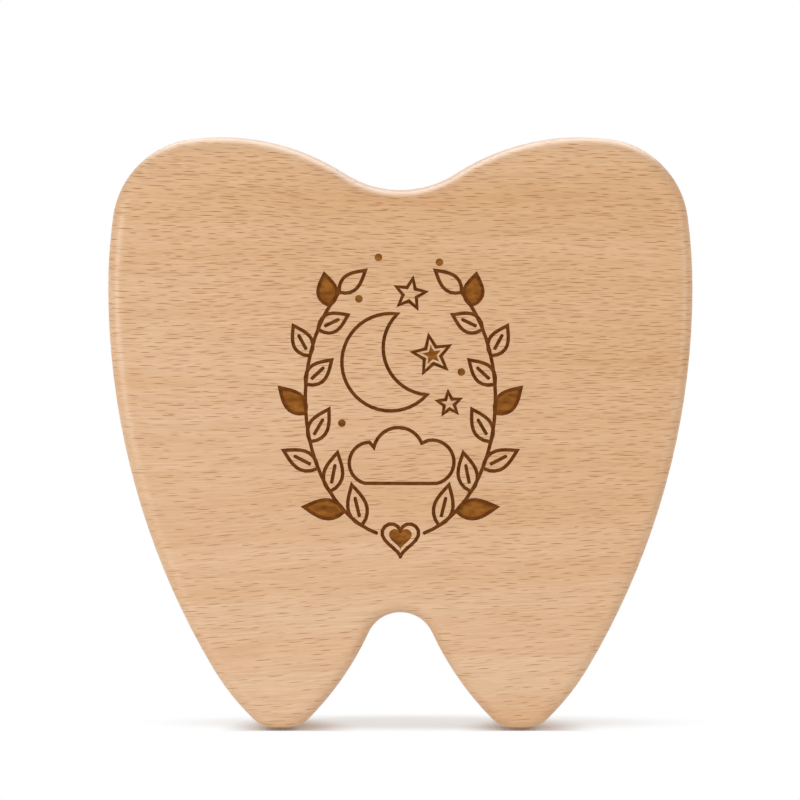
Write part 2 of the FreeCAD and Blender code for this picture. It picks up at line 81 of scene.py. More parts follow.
# Sizes of the bands, the fibre and the patches of flecks, and the spread of each noise that is used
BAND_SIZE = (160 * MM, 30 * MM, 9 * MM)
FIBRE_SIZE = (8 * MM, 0.9 * MM, 0.24 * MM)
PATCH_SIZE = (50 * MM, 30 * MM, 14 * MM)
BAND_SPREAD = (0.36, 0.66)
NOISE_SPREAD = (0.3, 0.7)
CROWN_LEAN = 0.45
CROWN_HEIGHTS = (25 * MM, 100 * MM)
OILED_ROUGHNESS = (0.36, 0.5)
OILED_SPREAD = (0.25, 0.75)
OILED_SHEEN = 0.5
FIBRE_RELIEF = (0.12, 0.08 * MM)

# Spacing along and across the grain, length, width and strength of each layer of flecks
FLECK_LAYERS = (
    ((4.3 * MM, 0.8 * MM), 3.7 * MM, 0.14 * MM, 1.0),
    ((3.4 * MM, 0.64 * MM), 2.8 * MM, 0.105 * MM, 0.5),
)
LAYER_SHIFT = Vector((0.37, 0, 0.21))
FLECK_SKEW = math.radians(37)
FLECK_SCATTER = 0.7
FLECK_LENGTHS = (0.5, 1.3)
FLECK_TAPER = 2.0
FLECK_EDGE = 0.3
FLECK_STRENGTHS = (0.55, 1.1)
FLECK_SHARES = (0.64, 0.88)
ROOT_SHARE = 0.6
FULL_SHARE_FROM = 0.6
FLECK_DARKNESS = (0.82, 1.15)
EDGE_DARKNESS = 0.3
EDGE_SLOPES = (0.5, 0.95)


def new_shader(name):
    """A new material, its node tree and the surface shader that comes with it."""
    material = bpy.data.materials.new(name)
    material.use_nodes = True
    tree = material.node_tree
    return material, tree, tree.nodes["Principled BSDF"]


def feed(tree, node, inputs):
    """Links each of the node's inputs from a socket, or sets it to a constant."""
    for socket, value in inputs.items():
        if isinstance(value, bpy.types.NodeSocket):
            tree.links.new(value, node.inputs[socket])
        else:
            node.inputs[socket].default_value = value


def add(tree, kind, inputs, **settings):
    """A new shader node with its settings and inputs."""
    node = tree.nodes.new(kind)
    for name, setting in settings.items():
        setattr(node, name, setting)
    feed(tree, node, inputs)
    return node


def object_place(tree):
    return add(tree, "ShaderNodeTexCoord", {}).outputs["Object"]


def split(tree, vector):
    """The X, Y and Z of a vector."""
    return add(tree, "ShaderNodeSeparateXYZ", {0: vector}).outputs


def number(tree, operation, first, second=0.0):
    return add(tree, "ShaderNodeMath", {0: first, 1: second}, operation=operation).outputs[0]


def vector_math(tree, operation, first, second):
    return add(tree, "ShaderNodeVectorMath", {0: first, 1: second}, operation=operation).outputs[0]


def remap(tree, value, old, new, kind="LINEAR"):
    """Carries a value from the old range to the new one, held at the ends."""
    inputs = {"Value": value, "From Min": old[0], "From Max": old[1], "To Min": new[0], "To Max": new[1]}
    return add(tree, "ShaderNodeMapRange", inputs, interpolation_type=kind).outputs[0]


def mixed(tree, factor, first, second, blend="MIX"):
    """Two colours mixed by a factor."""
    inputs = {0: factor, 6: first, 7: second}
    return add(tree, "ShaderNodeMix", inputs, data_type="RGBA", blend_type=blend).outputs[2]


def noise(tree, place, size, detail=2.0, roughness=0.5):
    """Soft noise whose clouds have the given size along each axis."""
    scale = tuple(1 / length for length in size)
    stretched = add(tree, "ShaderNodeMapping", {"Vector": place, "Scale": scale}).outputs[0]
    inputs = {"Vector": stretched, "Scale": 1.0, "Detail": detail, "Roughness": roughness}
    return add(tree, "ShaderNodeTexNoise", inputs).outputs["Fac"]


def bump(tree, height, strength, distance):
    inputs = {"Height": height, "Strength": strength, "Distance": distance}
    return add(tree, "ShaderNodeBump", inputs).outputs[0]


def turned(tree, vector, angle):
    """A vector turned about Z."""
    inputs = {"Vector": vector, "Angle": angle}
    return add(tree, "ShaderNodeVectorRotate", inputs, rotation_type="Z_AXIS").outputs[0]


def ray_flecks(tree, grain, spacing, length, width, share):
    """Lens-shaped flecks over the XZ plane in a share of the cells, 1 in a fleck's middle and 0 outside.

    A ray runs deep into the board, so each fleck is the end of a plate that goes on along Y.
    """
    scale = (1 / spacing[0], 1, 1 / spacing[1])
    laid_flat = {"Vector": grain, "Scale": scale, "Rotation": (-math.pi / 2, 0, 0)}
    plane = add(tree, "ShaderNodeMapping", laid_flat).outputs[0]
    # The cells are laid askew, so that the flecks don't line up in rows or columns.
    scatter = {"Vector": turned(tree, plane, FLECK_SKEW), "Scale": 1.0, "Randomness": FLECK_SCATTER}
    cells = add(tree, "ShaderNodeTexVoronoi", scatter, voronoi_dimensions="2D").outputs
    middle = turned(tree, cells["Position"], -FLECK_SKEW)
    apart = split(tree, vector_math(tree, "SUBTRACT", plane, middle))
    chance, size, tone = add(tree, "ShaderNodeSeparateColor", {0: cells["Color"]}).outputs[:3]

    half_length = length / 2 / spacing[0]
    half_width = width / 2 / spacing[1]
    reach = remap(tree, size, (0, 1), [half_length * factor for factor in FLECK_LENGTHS])
    along = number(tree, "ABSOLUTE", number(tree, "DIVIDE", apart["X"], reach))
    taper = number(tree, "SUBTRACT", 1.0, number(tree, "POWER", along, FLECK_TAPER))
    across = number(tree, "DIVIDE", number(tree, "ABSOLUTE", apart["Y"]), half_width)
    body = remap(tree, number(tree, "SUBTRACT", taper, across), (0, FLECK_EDGE), (0, 1))
    chosen = number(tree, "LESS_THAN", chance, share)
    strength = remap(tree, tone, (0, 1), FLECK_STRENGTHS)
    return number(tree, "MULTIPLY", number(tree, "MULTIPLY", chosen, body), strength)


def layered_flecks(tree, log, grain, crownward):
    """All the layers of flecks together, thinner in some patches and towards the roots."""
    patches = noise(tree, log, PATCH_SIZE, detail=1.0)
    share = remap(tree, patches, NOISE_SPREAD, FLECK_SHARES)
    thinned = remap(tree, crownward, (0, FULL_SHARE_FROM), (ROOT_SHARE, 1))
    share = number(tree, "MULTIPLY", share, thinned)
    flecks = 0.0
    for layer, (spacing, length, width, strength) in enumerate(FLECK_LAYERS):
        shifted = vector_math(tree, "ADD", grain, LAYER_SHIFT * layer)
        found = ray_flecks(tree, shifted, spacing, length, width, share)
        flecks = number(tree, "MAXIMUM", flecks, number(tree, "MULTIPLY", found, strength))
    return flecks


def wavy_grain(tree, log, at):
    """The place in the log, lifted where the grain wavers and where it fans out towards the right."""
    fan = number(tree, "MULTIPLY", at["X"], remap(tree, at["Z"], FAN_HEIGHTS, FAN_SLOPES))
    sway = remap(tree, noise(tree, log, SWAY_SIZE, detail=1.0), (0, 1), (-SWAY_LIFT, SWAY_LIFT))
    ripple = remap(tree, noise(tree, log, RIPPLE_SIZE), (0, 1), (-RIPPLE_LIFT, RIPPLE_LIFT))
    lift = number(tree, "ADD", number(tree, "ADD", fan, sway), ripple)
    upwards = add(tree, "ShaderNodeCombineXYZ", {"Z": lift}).outputs[0]
    return vector_math(tree, "ADD", log, upwards)


def beech(name, board):
    """Steamed beech, grain along X: soft growth bands, fine fibre and short brown ray flecks.

    Board is where in the log the piece was sawn from, so that no two pieces have the same figure.
    """
    material, tree, surface = new_shader(name)
    known = add(tree, "ShaderNodeTexCoord", {}).outputs
    at = split(tree, known["Object"])
    log = vector_math(tree, "ADD", known["Object"], board)
    grain = wavy_grain(tree, log, at)

    bands = noise(tree, grain, BAND_SIZE, detail=3.0, roughness=0.6)
    ground = mixed(tree, remap(tree, bands, BAND_SPREAD, (0, 1)), BEECH_PALE, BEECH_PINK)
    fibre = noise(tree, grain, FIBRE_SIZE, detail=3.0, roughness=0.65)
    shade = mixed(tree, remap(tree, fibre, NOISE_SPREAD, (0, 1)), FIBRE_DARK, FIBRE_PALE)
    ground = mixed(tree, 1.0, ground, shade, "MULTIPLY")
    # Towards the crown and the right the wood is yellower, and its rays look darker.
    slant = number(tree, "ADD", at["Z"], number(tree, "MULTIPLY", at["X"], CROWN_LEAN))
    crownward = remap(tree, slant, CROWN_HEIGHTS, (0, 1))
    ground = mixed(tree, crownward, ground, CROWN_TINT, "MULTIPLY")

    flecks = layered_flecks(tree, log, grain, crownward)
    darkness = remap(tree, crownward, (0, 1), FLECK_DARKNESS)
    # The top and bottom edges run along the rays, which show there as faint silky flakes.
    edgeways = number(tree, "ABSOLUTE", split(tree, known["Normal"])["Z"])
    faintness = remap(tree, edgeways, EDGE_SLOPES, (1, EDGE_DARKNESS))
    darkness = number(tree, "MULTIPLY", darkness, faintness)
    colour = mixed(tree, number(tree, "MULTIPLY", flecks, darkness), ground, BEECH_FLECK)
    # Painted shade: the lowest millimetre of the root tips is darkened, standing in for the contact shadow
    # where they stand.
    foot_shade = remap(tree, at["Z"], FOOT_SHADE_HEIGHTS, (1, 0), "SMOOTHSTEP")

    relief = number(tree, "SUBTRACT", fibre, flecks)
    feed(tree, surface, {
        "Base Color": mixed(tree, foot_shade, colour, PAINTED_FOOT_SHADE),
        "Roughness": remap(tree, fibre, OILED_SPREAD, OILED_ROUGHNESS),
        "Specular IOR Level": OILED_SHEEN,
        "Normal": bump(tree, relief, *FIBRE_RELIEF),
    })
    return material


def finish_node(name, material):
    """Gives a CAD node its material and the record's slot."""
    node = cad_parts[name]
    node.data.materials.clear()
    node.data.materials.append(material)


finish_node("base_tray", beech("beech_base", (0.31, 0.52, 0.17)))


# Pivot bush and threaded insert
# The bearing of the lid's pivot and the nut of its screw, both turned from brass bar. The bush is pressed
# into the base, and the flanged insert is screwed and glued into the back of the lid.

BRASS = (0.80, 0.58, 0.26, 1)
RING_LENGTH = 8 * MM
RING_RELIEF = (0.15, 0.03 * MM)
TARNISH_SIZE = (2.5 * MM, 2.5 * MM, 2.5 * MM)
TARNISH_SPREAD = (0.35, 0.75)
ROUGHNESS_SWING = 0.06


def turned_metal(name, colour, roughness, groove, tarnish):
    """Machined metal with fine rings about the pivot's Y axis, groove apart, and a share of tarnish."""
    material, tree, surface = new_shader(name)
    place = object_place(tree)
    rings = noise(tree, place, (RING_LENGTH, groove, RING_LENGTH))
    stain = noise(tree, place, TARNISH_SIZE, detail=3.0)
    dull = tuple((1 - tarnish) * part for part in colour[:3]) + (1,)
    swing = (roughness - ROUGHNESS_SWING, roughness + ROUGHNESS_SWING)
    feed(tree, surface, {
        "Base Color": mixed(tree, remap(tree, stain, TARNISH_SPREAD, (0, 1)), colour, dull),
        "Metallic": 1.0,
        "Roughness": remap(tree, stain, NOISE_SPREAD, swing),
        "Normal": bump(tree, rings, *RING_RELIEF),
    })
    return material


brass = turned_metal("brass", BRASS, roughness=0.3, groove=0.15 * MM, tarnish=0.25)
finish_node("pivot_bush", brass)
finish_node("threaded_insert", brass)


# Pivot screw and head washer
# A socket screw that the lid turns with, put in from the back and driven into the insert, and the washer
# that its head runs on. Both are zinc-plated steel.

ZINC = (0.56, 0.57, 0.59, 1)

steel = turned_metal("zinc_steel", ZINC, roughness=0.34, groove=0.2 * MM, tarnish=0.15)
finish_node("pivot_screw", steel)
finish_node("head_washer", steel)


# Thrust washer
# A ring punched from nylon sheet. It lies in a shallow seat round the bush and keeps the lid's back just
# clear of the base as it slides.

NYLON = (0.80, 0.77, 0.69, 1)
WORN_NYLON = (0.70, 0.66, 0.57, 1)
WEAR_SIZE = (3 * MM, 3 * MM, 3 * MM)
WEAR_RELIEF = (0.1, 0.03 * MM)
NYLON_ROUGHNESS = (0.42, 0.56)


def nylon_material():
    material, tree, surface = new_shader("nylon")
    wear = noise(tree, object_place(tree), WEAR_SIZE)
    feed(tree, surface, {
        "Base Color": mixed(tree, wear, NYLON, WORN_NYLON),
        "Roughness": remap(tree, wear, NOISE_SPREAD, NYLON_ROUGHNESS),
        "Normal": bump(tree, wear, *WEAR_RELIEF),
    })
    return material


finish_node("thrust_washer", nylon_material())


# Back plug
# A short beech dowel that hides the head of the pivot screw. It is cut from a stick of its own and glued
# into the mouth of the screw's hole, with its grain along that of the base.

finish_node("back_plug", beech("beech_plug", (0.83, 0.11, 0.64)))


# Magnets
# Three pairs of nickel-plated discs that hold the lid shut, glued into both boards: one pair in the
# shoulder away from the pivot and one in each root.

NICKEL = (0.62, 0.60, 0.56, 1)

nickel = turned_metal("nickel", NICKEL, roughness=0.24, groove=0.4 * MM, tarnish=0.06)
finish_node("lid_magnets", nickel)
finish_node("base_magnets", nickel)


# Vials
# Two straight tubes of clear drawn glass with a flat bottom, for a lock of hair or the like. They lie
# loose in the troughs of the base and lift out by the thumb recess between them.

GLASS = (0.99, 0.998, 0.994, 1)
CLEAR = (1, 1, 1, 1)
GLASS_BENDING = 1.47
GLASS_ROUGHNESS = (0.0, 0.02)
DRAWN_WAVE_SIZE = (9 * MM, 2 * MM, 2 * MM)
DRAWN_WAVE_RELIEF = (0.04, 0.05 * MM)


def glass_material():
    material, tree, surface = new_shader("vial_glass")
    waves = noise(tree, object_place(tree), DRAWN_WAVE_SIZE, detail=1.0)
    feed(tree, surface, {
        "Base Color": GLASS,
        "Transmission Weight": 1.0,
        "IOR": GLASS_BENDING,
        "Roughness": remap(tree, waves, NOISE_SPREAD, GLASS_ROUGHNESS),
        "Normal": bump(tree, waves, *DRAWN_WAVE_RELIEF),
    })
    # Light passes straight through the thin wall, so that the trough behind it isn't left in the dark.
    rays = add(tree, "ShaderNodeLightPath", {}).outputs
    lighting = number(tree, "MAXIMUM", rays["Is Shadow Ray"], rays["Is Diffuse Ray"])
    clear = add(tree, "ShaderNodeBsdfTransparent", {"Color": CLEAR}).outputs[0]
    wall = add(tree, "ShaderNodeMixShader", {0: lighting, 1: surface.outputs[0], 2: clear}).outputs[0]
    feed(tree, tree.nodes["Material Output"], {"Surface": wall})
    return material


glass = glass_material()
finish_node("upper_vial", glass)
finish_node("lower_vial", glass)


# Stoppers
# Plugs punched from natural cork, across the bark, with dark pores and a bevelled head. Each is
# pushed into the open end of its vial.

CORK_TAN = (0.56, 0.35, 0.18, 1)
CORK_BROWN = (0.40, 0.22, 0.10, 1)
CORK_PORE = (0.12, 0.055, 0.025, 1)
CELL_SIZE = (0.5 * MM, 0.35 * MM, 0.35 * MM)
PORE_SIZE = (1.8 * MM, 0.7 * MM, 0.5 * MM)
PORE_SPREAD = (0.6, 0.7)
CORK_ROUGHNESS = (0.75, 0.95)
CORK_RELIEF = (0.5, 0.15 * MM)


def cork_material():
    material, tree, surface = new_shader("cork")
    place = object_place(tree)
    cells = noise(tree, place, CELL_SIZE, detail=3.0, roughness=0.7)
    ground = mixed(tree, remap(tree, cells, NOISE_SPREAD, (0, 1)), CORK_TAN, CORK_BROWN)
    streaks = noise(tree, place, PORE_SIZE, detail=4.0, roughness=0.75)
    pores = remap(tree, streaks, PORE_SPREAD, (0, 1), "SMOOTHSTEP")
    feed(tree, surface, {
        "Base Color": mixed(tree, pores, ground, CORK_PORE),
        "Roughness": remap(tree, cells, NOISE_SPREAD, CORK_ROUGHNESS),
        "Normal": bump(tree, number(tree, "SUBTRACT", cells, pores), *CORK_RELIEF),
    })
    return material


cork = cork_material()
finish_node("upper_stopper", cork)
finish_node("lower_stopper", cork)


# Lid
# A thinner board of the same beech, its front edge well rounded, hung on the pivot screw. A wreath of two
# leafy sprigs round a moon, stars and a cloud is burnt into its face by a laser: the lines as grooves, and
# a few shapes as shallow flats.

cad_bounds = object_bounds()
face_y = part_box("lid_panel")[0].y

LINE_WIDTH = 0.85 * MM
LINE_DEPTH = 0.3 * MM
FILL_DEPTH = 0.16 * MM
FLOOR_SHARE = 0.75
ABOVE_FACE = 0.4 * MM
ROUND_END_ANGLES = (35, 65)
SHARPEST_MITRE = 0.5
DESIGN_CENTRE = Vector((0, 68 * MM))

# Sizes of the design, in millimetres about its centre, and its bearings in degrees
WREATH_MIDDLE = Vector((0, 0.5))
WREATH_REACH = Vector((19.5, 28.5))
STEM_BEARINGS = range(-76, 54, 6)
LEAF_BEARINGS = range(-66, 54, 12)
LEAF_LEAN = 42
LEAF_LENGTH = 8.6
LEAF_SHRINK = 0.22
LEAF_WIDTH = 3.9
LEAF_POINTS = 8
LEAF_VEIN = (0.22, 0.66)
FILLED_LEAF_EVERY = 4
TOP_LEAF_BEARING = 50
TOP_LEAF_LENGTH = 7.0
TOP_LEAF_WIDTH = 3.4
STAR_CENTRES = ((6.5, 9.5), (2.0, 22.0), (10.0, -0.5))
STAR_RADII = (4.0, 3.2, 2.4)
STAR_TURNS = (100, 80, 95)
STAR_WAIST = 0.45
FILLED_STAR_RADIUS = 2.0
HEART_CENTRE = (0, -28.0)
HEART_SIZE = 8.0
FILLED_HEART_SIZE = 5.0
DOT_RADIUS = 0.8
DOT_CENTRES = ((-8.5, 21.0), (8.0, 28.5), (-4.5, 29.5), (-12.0, -4.5), (12.5, 6.0))

LINE_BURN = ((0.2, 0.062, 0.008, 1), (0.115, 0.028, 0.002, 1))
FLAT_BURN = ((0.33, 0.12, 0.018, 1), (0.14, 0.04, 0.004, 1))
LINE_SPOT = 0.8 * MM
FLAT_SPOT = 1.6 * MM
SPOT_STRETCH = 2.2
BURN_SPREAD = (0.32, 0.68)
BURNT_ROUGHNESS = (0.6, 0.8)
BURNT_SHEEN = 0.08
BURNT_RELIEF = (0.4, 0.08 * MM)


def on_face(point, depth):
    """A point of the design at a depth below the lid's face."""
    return (DESIGN_CENTRE.x + point.x * MM, face_y + depth, DESIGN_CENTRE.y + point.y * MM)


def polar(radius, degrees, centre=(0, 0)):
    angle = math.radians(degrees)
    return Vector(centre) + Vector((radius * math.cos(angle), radius * math.sin(angle)))


def bearing(vector):
    return math.degrees(math.atan2(vector.y, vector.x))


def arc(centre, radius, start, end, step=8):
    """Points along an arc from one bearing to another."""
    count = max(2, math.ceil(abs(end - start) / step))
    return [polar(radius, start + (end - start) * i / count, centre) for i in range(count + 1)]


def almond(root, heading, length, width):
    """The closed outline of a leaf that grows from its root."""
    along = polar(1, heading)
    across = Vector((-along.y, along.x))
    shares = [i / LEAF_POINTS for i in range(LEAF_POINTS + 1)]
    bulge = [(share, math.sin(math.pi * share**0.8) * width / 2) for share in shares]
    right = [root + along * (length * share) - across * half for share, half in bulge]
    left = [root + along * (length * share) + across * half for share, half in reversed(bulge[1:-1])]
    return right + left


def star(centre, radius, turn):
    """Five points and the five corners between them."""
    radii = (radius, radius * STAR_WAIST) * 5
    return [polar(reach, turn + 36 * i, centre) for i, reach in enumerate(radii)]


def heart(centre, size, count=28):
    """The usual heart curve, which is about 34 units across before it is scaled."""
    points = []
    for i in range(count):
        t = 2 * math.pi * (i + 0.5) / count
        x = 16 * math.sin(t) ** 3
        y = 13 * math.cos(t) - 5 * math.cos(2 * t) - 2 * math.cos(3 * t) - math.cos(4 * t)
        points.append(Vector(centre) + Vector((x, y)) * (size / 34))
    return points


def moon(centre, radius, bite, lean, horn=118):
    """A crescent: the outer arc from horn to horn, and a shallower arc back."""
    outer = arc(centre, radius, lean + 180 - horn, lean + 180 + horn)
    start, end = outer[-1], outer[0]
    half = (start - end).length / 2
    inner_radius = math.hypot(half, bite)
    inner_centre = (start + end) / 2 + polar(1, lean) * bite
    first = bearing(start - inner_centre)
    span = 2 * math.degrees(math.asin(half / inner_radius))
    return outer + arc(inner_centre, inner_radius, first, first - span)[1:-1]


def cloud(left, right, base):
    """A flat-bottomed cloud of three puffs, each a share of its width."""
    width = right - left
    puffs = ((0.20, 0.20, 0.20, 255, 92), (0.47, 0.30, 0.24, 168, 22), (0.79, 0.21, 0.21, 100, -78))
    points = []
    for along, above, radius, start, end in puffs:
        centre = (left + along * width, base + above * width)
        points += arc(centre, radius * width, start, end, 12)
    return points


def stem_point(side, degrees):
    """A point of the wreath's oval, on its right side or, where side is -1, on its left."""
    angle = math.radians(degrees)
    offset = Vector((side * WREATH_REACH.x * math.cos(angle), WREATH_REACH.y * math.sin(angle)))
    return WREATH_MIDDLE + offset


def sprig(side):
    """One leafy branch up a side of the wreath, as closed outlines, open lines and filled shapes."""
    closed, filled = [], []
    opened = [[stem_point(side, degrees) for degrees in STEM_BEARINGS]]
    for index, degrees in enumerate(LEAF_BEARINGS):
        root, ahead = stem_point(side, degrees), stem_point(side, degrees + 2)
        outward = side if index % 2 else -side
        heading = bearing(ahead - root) - LEAF_LEAN * outward
        leaf = almond(root, heading, LEAF_LENGTH - LEAF_SHRINK * index, LEAF_WIDTH)
        closed.append(leaf)
        if index % FILLED_LEAF_EVERY == 1:
            filled.append(leaf)
        else:
            opened.append([root.lerp(leaf[LEAF_POINTS], share) for share in LEAF_VEIN])
    top = stem_point(side, TOP_LEAF_BEARING)
    closed.append(almond(top, 90 + TOP_LEAF_BEARING * side, TOP_LEAF_LENGTH, TOP_LEAF_WIDTH))
    return closed, opened, filled


def design():
    """The whole design as closed outlines, open lines and filled shapes."""
    closed, opened, filled = [], [], []
    for side in (1, -1):
        for kept, more in zip((closed, opened, filled), sprig(side)):
            kept += more
    closed.append(moon(centre=(-2.0, 8.0), radius=10.0, bite=4.0, lean=20))
    closed.append(cloud(left=-10.5, right=11.0, base=-17.0))
    for centre, radius, turn in zip(STAR_CENTRES, STAR_RADII, STAR_TURNS):
        closed.append(star(centre, radius, turn))
    closed.append(heart(HEART_CENTRE, HEART_SIZE))
    filled.append(heart(HEART_CENTRE, FILLED_HEART_SIZE))
    filled.append(star(STAR_CENTRES[0], FILLED_STAR_RADIUS, STAR_TURNS[0]))
    for centre in DOT_CENTRES:
        filled.append(arc(centre, DOT_RADIUS, 0, 330, 30))
    return closed, opened, filled


class Cutter:
    """Collects the closed bodies that are cut out of the lid's face."""

    def __init__(self):
        self.points = []
        self.faces = []
        self.burns = []

    def add_rings(self, rings, closed, burn):
        """A tube through rings of points; an open one is capped at both ends."""
        start = len(self.points)
        sides = len(rings[0])
        for ring in rings:
            self.points += ring
        count = len(rings)
        for i in range(count if closed else count - 1):
            here, there = start + i * sides, start + (i + 1) % count * sides
            for j in range(sides):
                k = (j + 1) % sides
                self.faces.append((here + j, here + k, there + k, there + j))
        if not closed:
            last = start + (count - 1) * sides
            self.faces.append(tuple(range(start + sides - 1, start - 1, -1)))
            self.faces.append(tuple(range(last, last + sides)))
        self.burns += [burn] * (len(self.faces) - len(self.burns))

    def add_line(self, line, closed):
        """A groove with sloping walls along a line of the design."""
        half = LINE_WIDTH / 2 / MM
        rings = []
        count = len(line)
        for i, point in enumerate(line):
            before = line[i - 1] if closed or i else None
            after = line[(i + 1) % count] if closed or i < count - 1 else None
            arriving = (point - before).normalized() if before else (after - point).normalized()
            leaving = (after - point).normalized() if after else arriving
            heading = (arriving + leaving).normalized()
            stretch = 1 / max(SHARPEST_MITRE, heading.dot(arriving))
            rings.append(self.section(point, heading, half * stretch))
            if not closed and before is None:
                rings = self.round_end(point, -heading, half)[::-1] + rings
            if not closed and after is None:
                rings += self.round_end(point, heading, half)
        self.add_rings(rings, closed, 0)

    def round_end(self, point, outward, half):
        """Narrowing sections that round off the end of a groove."""
        rings = []
        for degrees in ROUND_END_ANGLES:
            angle = math.radians(degrees)
            centre = point + outward * (half * math.sin(angle))
            rings.append(self.section(centre, outward, half * math.cos(angle)))
        return rings

    def section(self, point, heading, half):
        """Four corners across a groove, always in the same order seen along the line."""
        across = Vector((-heading.y, heading.x)) * half
        floor = across * FLOOR_SHARE
        return [
            on_face(point + across, -ABOVE_FACE),
            on_face(point - across, -ABOVE_FACE),
            on_face(point - floor, LINE_DEPTH),
            on_face(point + floor, LINE_DEPTH),
        ]

    def add_flat(self, outline):
        """A shallow flat over the inside of an outline."""
        rings = [[on_face(point, depth) for point in outline] for depth in (-ABOVE_FACE, FILL_DEPTH)]
        self.add_rings(rings, False, 1)


def burnt(name, shades, spot):
    """Wood charred by the laser, uneven in depth of burn over spots of the given size."""
    material, tree, surface = new_shader(name)
    spots = (SPOT_STRETCH * spot, spot, spot)
    char = noise(tree, object_place(tree), spots, detail=3.0, roughness=0.6)
    feed(tree, surface, {
        "Base Color": mixed(tree, remap(tree, char, BURN_SPREAD, (0, 1)), *shades),
        "Roughness": remap(tree, char, NOISE_SPREAD, BURNT_ROUGHNESS),
        "Specular IOR Level": BURNT_SHEEN,
        "Normal": bump(tree, char, *BURNT_RELIEF),
    })
    return material


def new_object(name, data):
    piece = bpy.data.objects.new(name, data)
    bpy.context.scene.collection.objects.link(piece)
    return piece


def make_cutter(materials):
    cutter = Cutter()
    closed, opened, filled = design()
    for line in closed:
        cutter.add_line(line, True)
    for line in opened:
        cutter.add_line(line, False)
    for outline in filled:
        cutter.add_flat(outline)
    mesh = bpy.data.meshes.new("engraving_cutter")
    mesh.from_pydata(cutter.points, [], cutter.faces)
    for material in materials:
        mesh.materials.append(material)
    mesh.polygons.foreach_set("material_index", cutter.burns)
    shell = bmesh.new()
    shell.from_mesh(mesh)
    bmesh.ops.recalc_face_normals(shell, faces=shell.faces)
    shell.to_mesh(mesh)
    shell.free()
    return new_object("engraving_cutter", mesh)


def remove_flaps(mesh):
    """Takes out faces that lie back to back, which a cut leaves where a groove's end folds over itself."""
    shell = bmesh.new()
    shell.from_mesh(mesh)
    sharing = {}
    for face in shell.faces:
        sharing.setdefault(frozenset(face.verts), []).append(face)
    doubled = [face for faces in sharing.values() if len(faces) > 1 for face in faces]
    bmesh.ops.delete(shell, geom=doubled, context="FACES")
    shell.to_mesh(mesh)
    shell.free()


def carved_copy(name, source, cutter):
    """A copy of a CAD node's mesh with the cutter taken out of it."""
    piece = new_object(name, source.data.copy())
    carving = piece.modifiers.new("carving", "BOOLEAN")
    carving.object = cutter
    carving.solver = "EXACT"
    carving.use_self = True
    carving.material_mode = "TRANSFER"
    graph = bpy.context.evaluated_depsgraph_get()
    mesh = bpy.data.meshes.new_from_object(piece.evaluated_get(graph))
    piece.modifiers.clear()
    piece.data = mesh
    remove_flaps(mesh)
    return piece


finish_node("lid_panel", beech("beech_lid", (0.0, 0.0, 0.0)))
line_burn = burnt("burnt_line", LINE_BURN, LINE_SPOT)
flat_burn = burnt("burnt_flat", FLAT_BURN, FLAT_SPOT)
engraving_cutter = make_cutter((line_burn, flat_burn))
lid = carved_copy("engraved_lid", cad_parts["lid_panel"], engraving_cutter)
bpy.data.objects.remove(engraving_cutter)
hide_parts("lid_panel")
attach(lid, "lid")


# Studio
# A white table and surround, soft lights low at the front left and front right, one behind, a broad sheen
# from above along the top edge, and a long lens that looks a little down on the box.

TABLE_HALF = 1.5
TABLE_COOL = (0.915, 0.93, 0.94, 1)
TABLE_PALE = (0.935, 0.95, 0.96, 1)
TABLE_TONE_SIZE = (0.2, 0.2, 0.2)
TABLE_ROUGHNESS = 0.9
TABLE_SHEEN = 0.1
WHITE = (1, 1, 1, 1)
SURROUND_LIGHT = 0.61

# Where the table looks shaded: an oval under the box, a patch round each root tip, and a line in front
SHADOW_CENTRE = (5 * MM, 5.5 * MM, 0)
SHADOW_REACH = (64 * MM, 22 * MM, 1)
SHADOW_CORE = 0.4
SHADOW_FADE = 0.55
TIP_SHIFT = 1.6 * MM
TIP_DEPTH_SHARE = 0.6
TIP_CONTACT = (24.6 * MM, -8 * MM * TIP_DEPTH_SHARE, 0)
TIP_SHADE = (4 * MM, 15.5 * MM)
TIP_FADE = 0.15
BRIGHT_FRONT = (-14 * MM, -11.5 * MM)

# The widths of the picture and of the box in it set how long the lens is.
PHOTO_PIXELS = 800
BOX_PIXELS = 585.2
ELEVATION = math.radians(2.5)
DISTANCE = 1.3
SENSOR_WIDTH = 36
box_width = cad_bounds[1].x - cad_bounds[0].x
lens_aim = Vector((-0.08 * MM, face_y, 68.25 * MM))
LAMP_AIM = (0, 0, 0.06)
TOP_EDGE_AIM = (0, 0, 0.1)


def seen_share(tree, share):
    """The share for rays from the camera, 1 in a reflection or through glass, 0 for rays that only light."""
    rays = add(tree, "ShaderNodeLightPath", {}).outputs
    direct = number(tree, "MULTIPLY", rays["Is Camera Ray"], share)
    bent = number(tree, "MAXIMUM", rays["Is Glossy Ray"], rays["Is Transmission Ray"])
    return number(tree, "MAXIMUM", direct, bent)


